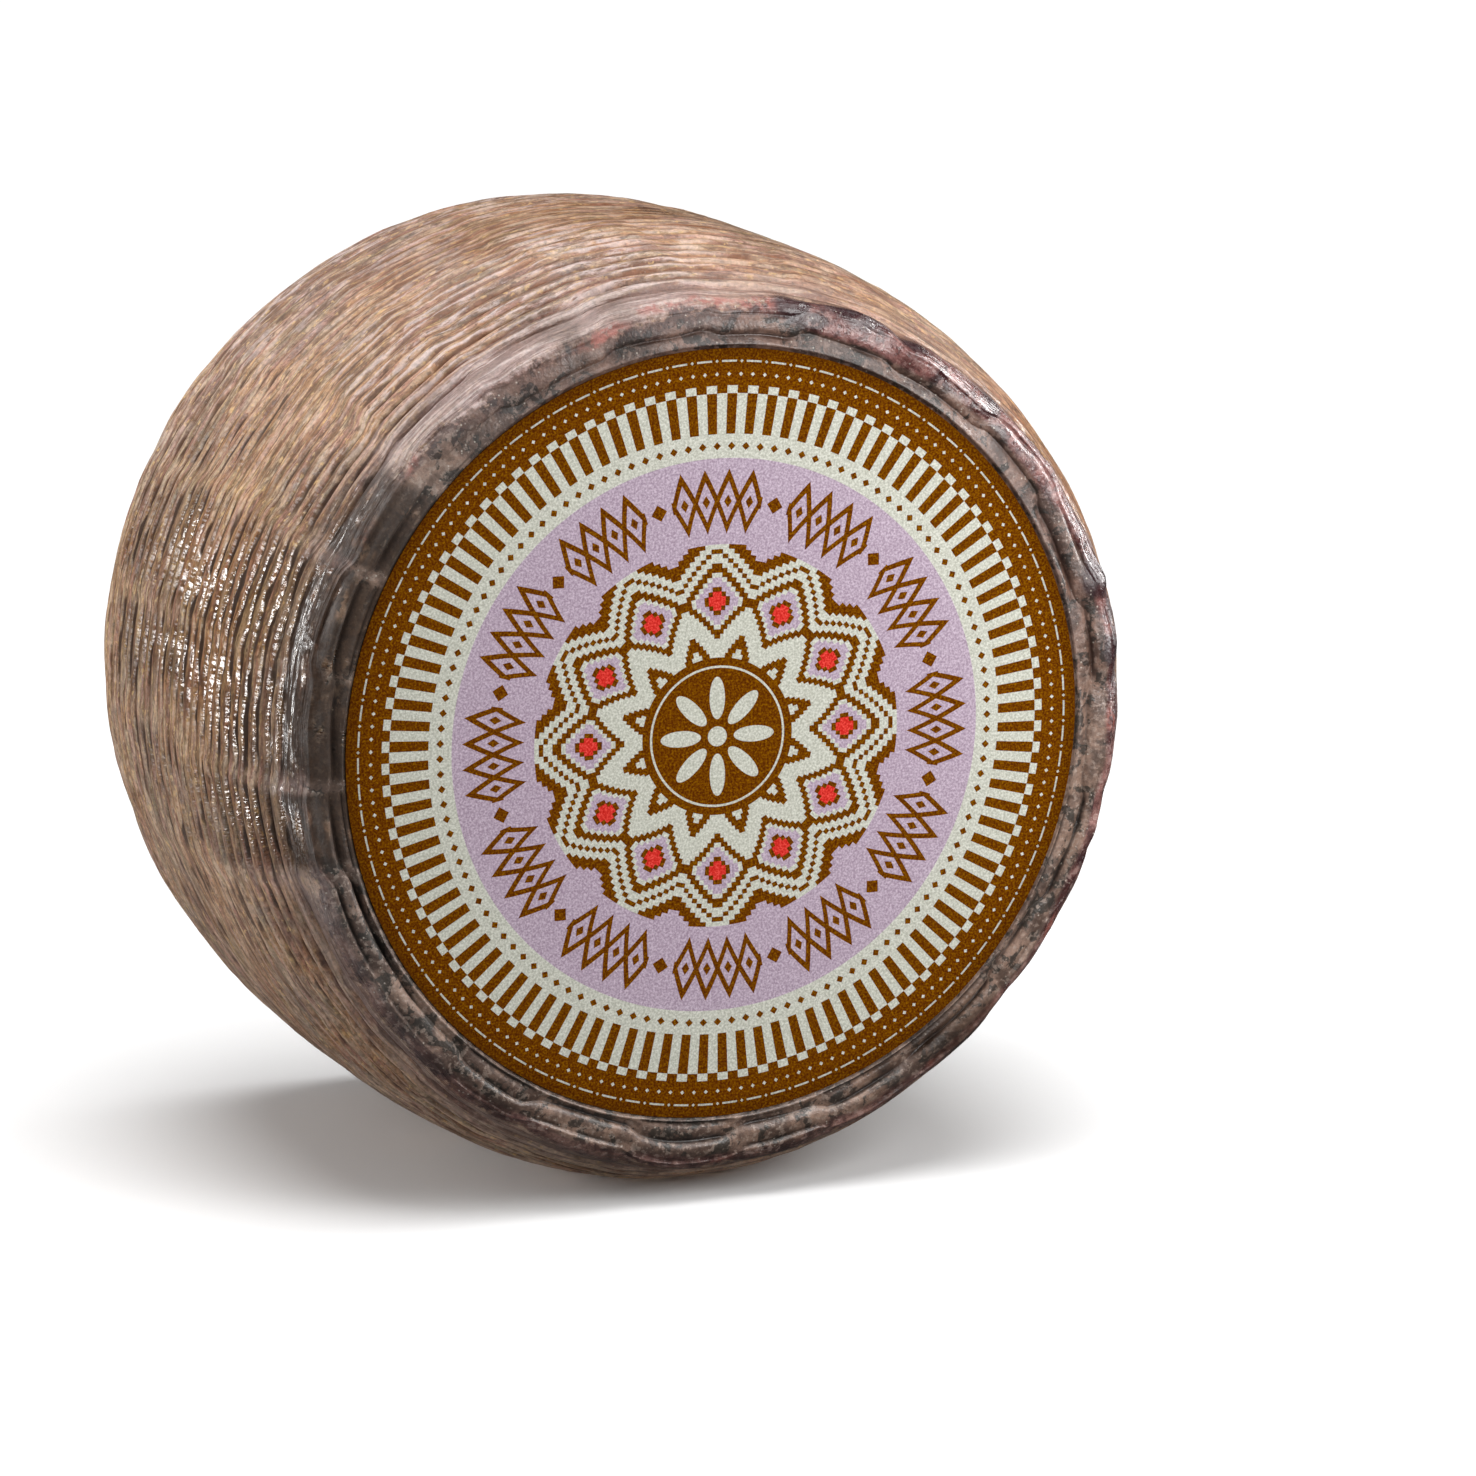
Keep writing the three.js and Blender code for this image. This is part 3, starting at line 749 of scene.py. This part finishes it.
def rind_material():
    material, graph, shader = new_material("oiled_rind")
    place = graph.object_place()
    weave = graph.attribute("weave", "Vector")
    names = ("groove", "reach", "shift", "bloom_and_sheen", "purple", "rib", "print", "tone", "dark", "matt", "oil", "lump",
             "knots", "rust", "strip")
    values = {name: graph.attribute(name) for name in names}
    stains = graph.noise(graph.mapped(place, location=(0.2, 0.8, 0.6)), 130.0, 4.0, 0.65, 0.5)
    mottle, specks = add_speckle(graph, place, 1150.0, 0.32)

    wander = graph.noise(graph.mapped(weave, (0.8, 0.3, 0.8), (7.0, 3.0, 1.0)), 1.0, 2.0, 0.6)
    phase = graph.math("FRACT", graph.math("MULTIPLY_ADD", graph.math("SUBTRACT", wander, 0.5), 1.0, values["rib"]))
    on_flank = graph.ramp(graph.math("ABSOLUTE", graph.math("SUBTRACT", phase, 0.26)), 0.18, 0.07)
    on_crest = graph.ramp(graph.math("ABSOLUTE", graph.math("SUBTRACT", phase, 0.4)), 0.2, 0.06)
    in_groove = graph.ramp(graph.math("ABSOLUTE", graph.math("SUBTRACT", phase, 0.5)), 0.28, 0.44)
    fine = graph.math("PINGPONG", graph.math("MULTIPLY_ADD", graph.math("SUBTRACT", wander, 0.5), 3.0,
                                             graph.math("MULTIPLY", values["rib"], 2.0)), 0.5)
    breaks = graph.noise(graph.mapped(weave, (0.6, 0.4, 0.6), (2.0, 8.0, 4.0)), 1.0, 5.0, 0.75)

    base = flecked(graph, place, weave, side_colour(graph, place, weave, values))
    # Painted highlights: thin light lines along the rib crests, whiter where the bloom is.
    crest_highlights = graph.math("MULTIPLY", on_crest, graph.ramp(breaks, 0.44, 0.55, 0.0, 0.7))
    crest_highlights = graph.math("MULTIPLY", crest_highlights, graph.ramp(values["print"], 0.1, 0.6))
    crest_highlights = graph.math("MULTIPLY", crest_highlights, graph.ramp(values["bloom_and_sheen"], 0.3, 1.0, 0.45, 1.0))
    crest_highlights = graph.math("MULTIPLY", crest_highlights, graph.ramp(values["reach"], 25.0, 65.0, 1.0, 0.5))
    base = graph.mix(crest_highlights, base, graph.mix(values["bloom_and_sheen"], linear(222, 184, 146), linear(232, 210, 206)))
    hair = graph.math("MULTIPLY", graph.ramp(fine, 0.16, 0.04), graph.ramp(breaks, 0.54, 0.44, 0.0, 0.65))
    base = graph.mix(graph.math("MULTIPLY", hair, graph.ramp(values["print"], 0.0, 0.2)), base, linear(108, 72, 50))
    # The rib grooves are painted orange-brown to dark brown: partly their own colour, partly painted shade.
    crease = graph.math("MULTIPLY", in_groove, graph.ramp(values["print"], 0.15, 0.7, 0.0, 0.85))
    crease = graph.math("MAXIMUM", crease, graph.ramp(values["groove"], 0.35, 0.9, 0.0, 0.9))
    groove_colour_and_shade = graph.mix(values["dark"], linear(136, 82, 44), linear(84, 50, 28))
    base = graph.mix(crease, base, groove_colour_and_shade)

    border = graph.math("SUBTRACT", values["reach"], values["shift"])
    border = graph.math("ADD", border, graph.math("MULTIPLY", graph.math("SUBTRACT", stains, 0.5), 9.0))
    strands = graph.noise(graph.mapped(weave, (0.45, 0.9, 0.45), (5.0, 2.0, 8.0)), 1.0, 3.0, 0.65)
    fringe = graph.noise(place, 620.0, 3.0, 0.7)
    border = graph.math("ADD", border, graph.math("MULTIPLY", graph.math("SUBTRACT", fringe, 0.5), 7.0))
    # The mauve bloom on the shoulder: partly the rind's colour, partly painted sheen.
    bloom_and_sheen = graph.math("MULTIPLY", graph.ramp(border, 8.0, 10.5), graph.ramp(border, 22.0, 12.0))
    bloom_and_sheen = graph.math("MULTIPLY", bloom_and_sheen, graph.math("MULTIPLY", values["bloom_and_sheen"], 0.75))
    base = graph.mix(bloom_and_sheen, base, linear(188, 164, 160))
    on_band = graph.math("MULTIPLY", graph.ramp(values["reach"], 6.0, 8.0), graph.ramp(values["reach"], 22.0, 14.0))
    furrow = graph.math("MULTIPLY", on_band, graph.ramp(strands, 0.5, 0.42, 0.0, 0.45))
    base = graph.mix(furrow, base, linear(112, 82, 70))
    thread = graph.math("MULTIPLY", on_band, graph.ramp(strands, 0.51, 0.59, 0.0, 0.65))
    thread = graph.math("MULTIPLY", thread, graph.ramp(values["bloom_and_sheen"], 0.2, 1.0, 0.5, 1.0))
    base = graph.mix(thread, base, graph.mix(values["bloom_and_sheen"], linear(220, 186, 156), linear(216, 196, 190)))
    folds = graph.ramp(border, 9.8, 8.2)
    base = graph.mix(folds, base, fold_colour(graph, place, stains, values))
    purple_edge = graph.math("MULTIPLY", graph.ramp(border, 5.5, 8.0), graph.ramp(border, 11.0, 9.0))
    purple_edge = graph.math("MULTIPLY", purple_edge, graph.ramp(values["purple"], 0.0, 1.0, 0.3, 0.4))
    base = graph.mix(purple_edge, base, linear(84, 50, 50))
    fleshy = graph.ramp(graph.noise(place, 420.0, 4.0, 0.7), 0.42, 0.58, 0.0, 0.85)
    base = graph.mix(graph.math("MULTIPLY", graph.ramp(values["rust"], 0.2, 0.75), fleshy), base, linear(172, 102, 90))
    base = graph.mix(graph.ramp(values["lump"], 0.15, 0.5, 0.0, 0.85), base, linear(52, 27, 32))
    mould = graph.math("MULTIPLY", specks, graph.ramp(border, 14.0, 8.0, 0.25, 0.9))
    base = graph.mix(mould, base, linear(214, 202, 188))

    # Painted light and shade by height: the colour is lighter near the floor and a little darker at the top.
    low = graph.add("ShaderNodeSeparateXYZ")
    graph.join(place, low.inputs[0])
    painted_light_height = graph.math("ADD", low.outputs[2], graph.math("MULTIPLY", stains, 0.03))
    shade = graph.ramp(painted_light_height, 0.02, 0.2, 1.1, 0.92, smooth=False)
    base = graph.mix(1.0, base, shade, "MULTIPLY")
    # Darker where the rind is oiled.
    darkening = graph.mix(graph.ramp(values["oil"], 0.0, 0.8), (1, 1, 1, 1), (0.58, 0.48, 0.36, 1))
    base = graph.mix(1.0, base, darkening, "MULTIPLY")
    # The rib grooves are painted near-black where the rind is oiled.
    dark_oiled_grooves = graph.math("MULTIPLY", in_groove, graph.ramp(values["oil"], 0.1, 0.6, 0.0, 0.85))
    base = graph.mix(dark_oiled_grooves, base, linear(52, 33, 20))
    at_left = graph.math("MULTIPLY", values["matt"], values["dark"])
    base = graph.mix(1.0, base, graph.mix(at_left, (1, 1, 1, 1), (1.13, 1.24, 1.32, 1)), "MULTIPLY")
    beyond_lip = graph.math("MULTIPLY", values["strip"], graph.ramp(values["reach"], 10.5, 12.5))
    base = graph.mix(1.0, base, graph.mix(beyond_lip, (1, 1, 1, 1), (0.7, 0.57, 0.44, 1)), "MULTIPLY")
    base = graph.mix(1.0, base, graph.ramp(mottle, 0.35, 0.65, 0.84, 1.16, smooth=False), "MULTIPLY")
    graph.join(base, shader.inputs["Base Color"])

    dots = graph.noise(graph.mapped(weave, (12.0, 0.5, 12.0), (1.0, 6.0, 2.0)), 1.0, 3.0, 0.7)
    chains = graph.math("MULTIPLY", on_flank, graph.ramp(dots, 0.455, 0.52))
    sheen = graph.math("MULTIPLY", graph.ramp(border, 8.5, 10.5), graph.ramp(border, 15.0, 12.0))
    sheen = graph.math("MULTIPLY", sheen, graph.ramp(strands, 0.44, 0.56, 0.2, 1.4))
    wet = graph.math("MULTIPLY", chains, values["oil"])
    wet = graph.math("MAXIMUM", wet, graph.math("MULTIPLY", sheen, graph.math("MULTIPLY", values["matt"], 0.75)))
    on_lip = graph.math("MULTIPLY", values["purple"], graph.ramp(values["reach"], 13.0, 11.5))
    wet = graph.math("MAXIMUM", wet, graph.math("MULTIPLY", on_lip, graph.ramp(fringe, 0.42, 0.58, 0.15, 0.58)))
    dry = graph.ramp(graph.noise(place, 70.0, 3.0), 0.42, 0.58, 0.38, 0.5)
    dry = graph.math("ADD", dry, graph.math("MULTIPLY", values["matt"], 0.5))
    polish = graph.math("SUBTRACT", 1.0, graph.math("MULTIPLY", wet, 0.87))
    graph.join(graph.math("MULTIPLY", dry, polish), shader.inputs["Roughness"])
    fibres = graph.noise(graph.mapped(weave, (1.6, 0.5, 1.6)), 1.0, 4.0, 0.7)
    beads = graph.noise(graph.mapped(weave, (16.0, 0.9, 16.0), (1.0, 6.0, 2.0)), 1.0, 1.0, 0.5)
    grain = graph.bump(graph.noise(place, 1500.0, 2.0, 0.5), 0.12 * MM)
    beads = graph.bump(beads, 0.32 * MM, graph.math("MULTIPLY", on_flank, values["oil"]), grain)
    fibres = graph.bump(fibres, 0.2 * MM, normal=beads)
    graph.join(graph.bump(strands, 0.8 * MM, on_band, fibres), shader.inputs["Normal"])
    dull = graph.math("MULTIPLY", graph.math("SUBTRACT", values["matt"], wet), graph.ramp(border, 3.0, 10.0))
    graph.join(graph.ramp(dull, 0.0, 1.0, 0.75, 0.15), shader.inputs["Specular IOR Level"])
    return material


rind.data.materials.append(rind_material())

# %% [markdown]
# The label's print
#
# The print is rings of brown, cream and lilac, with a striped border. Every figure in it is
# worked out from two numbers: the distance from the centre, in label radii, and the turn round
# it. Folding the turn with a ping-pong repeats a figure round the ring. A figure is a mask of
# ones and zeros, and stepped figures come from rounding both numbers down to cells.

# %% Masks
def above(graph, value, limit):
    return graph.math("GREATER_THAN", value, limit)


def below(graph, value, limit):
    return graph.math("LESS_THAN", value, limit)


def between(graph, value, low, high):
    return graph.math("MULTIPLY", above(graph, value, low), below(graph, value, high))


def both(graph, first, second):
    return graph.math("MULTIPLY", first, second)


def either(graph, first, second):
    return graph.math("MAXIMUM", first, second)


def apart(graph, value, middle):
    return graph.math("ABSOLUTE", graph.math("SUBTRACT", value, middle))


def folded(graph, turn, times, shift=0.0):
    """The distance from the nearest of so many places round the ring, from 0 to 0.5."""
    return graph.math("PINGPONG", graph.math("MULTIPLY_ADD", turn, times / TURN, shift), 0.5)


def diamonds(graph, radius, turn, times, ring, size, shift=0.0):
    """Small upright diamonds, so many round a ring."""
    aside = graph.math("MULTIPLY", folded(graph, turn, times, shift), TURN * ring / times)
    return below(graph, graph.math("ADD", apart(graph, radius, ring), aside), size)


# %% Figures of the print
REPEATS = 12
FIELD_START = 0.205
FIELD_END = 0.4975
FIELD_ROWS = 24
LILAC_MIDDLE = 0.608


def stepped_ring(graph, radius, turn):
    """Twelve stepped lozenges in the cream field, as brown, lilac and red masks."""
    row = graph.math("FLOOR", graph.ramp(radius, FIELD_START, FIELD_END, 0.0, FIELD_ROWS, smooth=False))
    row = graph.math("ADD", row, 0.5)
    cell = graph.math("FLOOR", graph.math("MULTIPLY", turn, 16 * REPEATS / TURN))
    aside = graph.math("PINGPONG", graph.math("ADD", cell, 0.5), 8.0)
    inward = graph.math("SUBTRACT", 8.0, aside)
    steps = graph.math("ADD", aside, apart(graph, row, FIELD_ROWS / 2))
    outer_steps = graph.math("ADD", inward, graph.math("SUBTRACT", FIELD_ROWS, row))
    inner_steps = graph.math("ADD", inward, row)
    brown = either(graph, between(graph, steps, 6.5, 8.5), between(graph, steps, 2.5, 3.5))
    brown = either(graph, brown, between(graph, outer_steps, 3.5, 6.5))
    brown = either(graph, brown, between(graph, inner_steps, 2.5, 5.5))
    brown = either(graph, brown, between(graph, outer_steps, 8.5, 9.5))
    lilac = either(graph, between(graph, steps, 3.5, 5.5), below(graph, outer_steps, 3.5))
    red = below(graph, steps, 2.5)
    field = between(graph, radius, FIELD_START, FIELD_END)
    return both(graph, brown, field), both(graph, lilac, field), both(graph, red, field)


def rosette(graph, radius, turn):
    """A plain rosette of eight petals inside a thin ring."""
    leaning = graph.math("MULTIPLY", folded(graph, turn, 8), TURN / 8)
    along = graph.math("MULTIPLY", radius, graph.math("COSINE", leaning))
    across = graph.math("MULTIPLY", radius, graph.math("SINE", leaning))
    out = graph.math("POWER", graph.math("DIVIDE", apart(graph, along, 0.1), 0.055), 2.0)
    wide = graph.math("POWER", graph.math("DIVIDE", across, 0.021), 2.0)
    petals = below(graph, graph.math("ADD", out, wide), 1.0)
    centre = below(graph, radius, 0.026)
    return either(graph, either(graph, petals, centre), between(graph, radius, 0.178, 0.184))


def lozenge_chain(graph, radius, turn):
    """Groups of four tall outlined lozenges between the diamonds of the lilac ring."""
    share = graph.math("FRACT", graph.math("MULTIPLY_ADD", turn, REPEATS / TURN, 0.5))
    group = graph.ramp(share, 0.13, 0.87, 0.0, 4.0, smooth=False)
    wave = graph.math("PINGPONG", group, 0.5)
    height = graph.math("MULTIPLY", wave, 2 * 0.068)
    off = apart(graph, radius, LILAC_MIDDLE)
    outline = below(graph, apart(graph, off, height), 0.016)
    aside = graph.math("MULTIPLY", graph.math("SUBTRACT", 0.5, wave), 0.0588)
    heart = below(graph, graph.math("ADD", off, graph.math("MULTIPLY", aside, 1.6)), 0.017)
    return both(graph, either(graph, outline, heart), between(graph, share, 0.115, 0.885))


# %% Label material
BROWN = linear(113, 61, 0)
CREAM = linear(209, 209, 196)
LILAC = linear(191, 171, 188)
RED = linear(226, 56, 48)
STRIPES = 100


def label_material():
    material, graph, shader = new_material("printed_paper")
    place = graph.object_place()
    scale = 1 / LABEL_RADIUS
    centred = graph.mapped(place, (scale, scale, scale), (0, 0, -AXIS_HEIGHT * scale))
    axes = graph.add("ShaderNodeSeparateXYZ")
    graph.join(centred, axes.inputs[0])
    across, up = axes.outputs[0], axes.outputs[2]
    radius = graph.math("SQRT", graph.math("ADD", graph.math("MULTIPLY", across, across), graph.math("MULTIPLY", up, up)))
    turn = graph.math("ARCTAN2", up, across)

    colour = graph.mix(above(graph, radius, FIELD_START), BROWN, CREAM)
    for start, ink in ((FIELD_END, LILAC), (0.719, CREAM), (0.885, BROWN)):
        colour = graph.mix(above(graph, radius, start), colour, ink)

    stripe = below(graph, graph.math("FRACT", graph.math("MULTIPLY", turn, STRIPES / TURN)), 0.5)
    brown = both(graph, between(graph, radius, 0.781, 0.885), stripe)
    brown = either(graph, brown, diamonds(graph, radius, turn, 120, 0.75, 0.0105))
    brown = either(graph, brown, diamonds(graph, radius, turn, REPEATS, LILAC_MIDDLE, 0.022, 0.5))
    brown = either(graph, brown, lozenge_chain(graph, radius, turn))
    stepped_brown, lilac, red = stepped_ring(graph, radius, turn)
    brown = either(graph, brown, stepped_brown)
    cream = either(graph, both(graph, between(graph, radius, 0.885, 0.905), stripe), rosette(graph, radius, turn))
    dash = below(graph, folded(graph, turn, 90), 0.3)
    cream = either(graph, cream, both(graph, between(graph, radius, 0.965, 0.97), dash))
    cream = either(graph, cream, diamonds(graph, radius, turn, 90, 0.9675, 0.0045, 0.5))
    cream = either(graph, cream, diamonds(graph, radius, turn, 180, 0.934, 0.0055))

    for mask, ink in ((brown, BROWN), (lilac, LILAC), (red, RED), (cream, CREAM)):
        colour = graph.mix(mask, colour, ink)
    mottle, _ = add_speckle(graph, place, 2300.0, 0.3)
    grain = graph.add("ShaderNodeGamma")
    graph.join(colour, grain.inputs[0])
    graph.join(graph.ramp(mottle, 0.34, 0.66, 0.75, 1.25, smooth=False), grain.inputs[1])
    colour = graph.mix(1.0, grain.outputs[0], graph.ramp(mottle, 0.34, 0.66, 1.14, 0.86, smooth=False), "MULTIPLY")
    # Painted shade: the print is darkened towards the label's edge, behind a noisy border.
    darkening = graph.math("ADD", radius, graph.math("MULTIPLY", graph.noise(place, 60.0), 0.03))
    colour = graph.mix(1.0, colour, graph.ramp(darkening, 0.95, 1.015, 1.0, 0.72), "MULTIPLY")
    graph.join(colour, shader.inputs["Base Color"])
    shader.inputs["Roughness"].default_value = 0.9
    shader.inputs["Specular IOR Level"].default_value = 0.03
    graph.join(graph.bump(mottle, 0.02 * MM), shader.inputs["Normal"])
    return material


label.data.materials.append(label_material())

# %% [markdown]
# Pieces and bodies
#
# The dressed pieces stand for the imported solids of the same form.

# %% Tie the pieces to the frame
for piece, node, slot in ((rind, "cheese_wheel", "rind"), (label, "paper_label", "label_paper")):
    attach(piece, "root")
    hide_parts(node)

# %% [markdown]
# The studio
#
# The floor is pale and plain. A very soft light stands almost overhead, a little to the front
# and right, and the room adds an even glow. A small bright panel at the left only shows in
# glossy reflections, as a photographer's glint card does, and breaks into glints on the ribs.

# %% Floor, lights and camera
def pale_floor():
    deselect_everything()
    bpy.ops.mesh.primitive_plane_add(size=20.0)
    floor = bpy.context.object
    floor.name = "floor"
    material, graph, shader = new_material("pale_floor")
    shader.inputs["Base Color"].default_value = (0.95, 0.95, 0.95, 1)
    shader.inputs["Roughness"].default_value = 0.9
    shader.inputs["Specular IOR Level"].default_value = 0.1
    floor.data.materials.append(material)
    floor.visible_glossy = False
    floor.visible_diffuse = False


def add_light(data, place, target):
    light = bpy.data.objects.new(data.name, data)
    bpy.context.scene.collection.objects.link(light)
    light.location = place
    light.rotation_euler = (Vector(target) - Vector(place)).to_track_quat("-Z", "Y").to_euler()
    return light


def sky_light(name, place, strength, spread, target):
    data = bpy.data.lights.new(name, "SUN")
    data.energy = strength
    data.angle = math.radians(spread)
    return add_light(data, place, target)


def panel_light(name, place, width, height, power, target):
    data = bpy.data.lights.new(name, "AREA")
    data.shape = "RECTANGLE"
    data.size = width
    data.size_y = height
    data.energy = power
    return add_light(data, place, target)


pale_floor()
middle = Vector((0, 0, AXIS_HEIGHT))
sky_light("key", (0.0, -0.06, 1.1), 2.8, 50, middle)
panel_light("softbox", (0.17, -0.3, 0.22), 0.2, 0.2, 0.84, middle)
panel_light("fill", (-0.8, 0.1, 0.2), 0.8, 0.35, 2.9, middle)
glint_panel = panel_light("glints", (-1.2, 0.1, 0.25), 0.4, 1.3, 50, middle)
glint_panel.visible_diffuse = False
edge_panel = panel_light("edge", (1.1, -0.1, 0.4), 0.3, 0.7, 18, middle)
edge_panel.visible_diffuse = False
world = bpy.data.worlds.new("studio")
bpy.context.scene.world = world
world.use_nodes = True
world.node_tree.nodes["Background"].inputs[0].default_value = (1, 1, 1, 1)
room = Graph(world.node_tree)
way = room.add("ShaderNodeSeparateXYZ")
room.join(room.add("ShaderNodeTexCoord").outputs["Generated"], way.inputs[0])
rays = room.add("ShaderNodeLightPath")
glow = room.ramp(way.outputs[2], -0.15, 0.15, 0.18, 0.24)
glow = room.math("MULTIPLY", glow, room.ramp(rays.outputs["Is Glossy Ray"], 0.0, 1.0, 1.0, 0.3))
room.join(glow, world.node_tree.nodes["Background"].inputs[1])
bpy.context.scene.view_settings.view_transform = "Standard"

CAMERA_AZIMUTH = math.radians(-20.72)
CAMERA_ELEVATION = math.radians(11.52)
CAMERA_DISTANCE = 1.5
FRAME_WIDTH = 1476
PIXELS_PER_METRE = 4953.6
WHEEL_PIXEL = (605.8, 677.4)


def photo_camera():
    back = Vector((math.sin(CAMERA_AZIMUTH) * math.cos(CAMERA_ELEVATION),
                   -math.cos(CAMERA_AZIMUTH) * math.cos(CAMERA_ELEVATION), math.sin(CAMERA_ELEVATION)))
    right = Vector((math.cos(CAMERA_AZIMUTH), math.sin(CAMERA_AZIMUTH), 0))
    up = back.cross(right)
    data = bpy.data.cameras.new("photo_camera")
    data.sensor_width = 36
    data.lens = PIXELS_PER_METRE * CAMERA_DISTANCE / FRAME_WIDTH * data.sensor_width
    camera = bpy.data.objects.new("photo_camera", data)
    bpy.context.scene.collection.objects.link(camera)
    camera.location = middle + back * CAMERA_DISTANCE
    half = FRAME_WIDTH / 2
    aim = middle + right * ((half - WHEEL_PIXEL[0]) / PIXELS_PER_METRE) - up * ((half - WHEEL_PIXEL[1]) / PIXELS_PER_METRE)
    camera.rotation_euler = (aim - camera.location).to_track_quat("-Z", "Y").to_euler()
    bpy.context.scene.camera = camera


photo_camera()
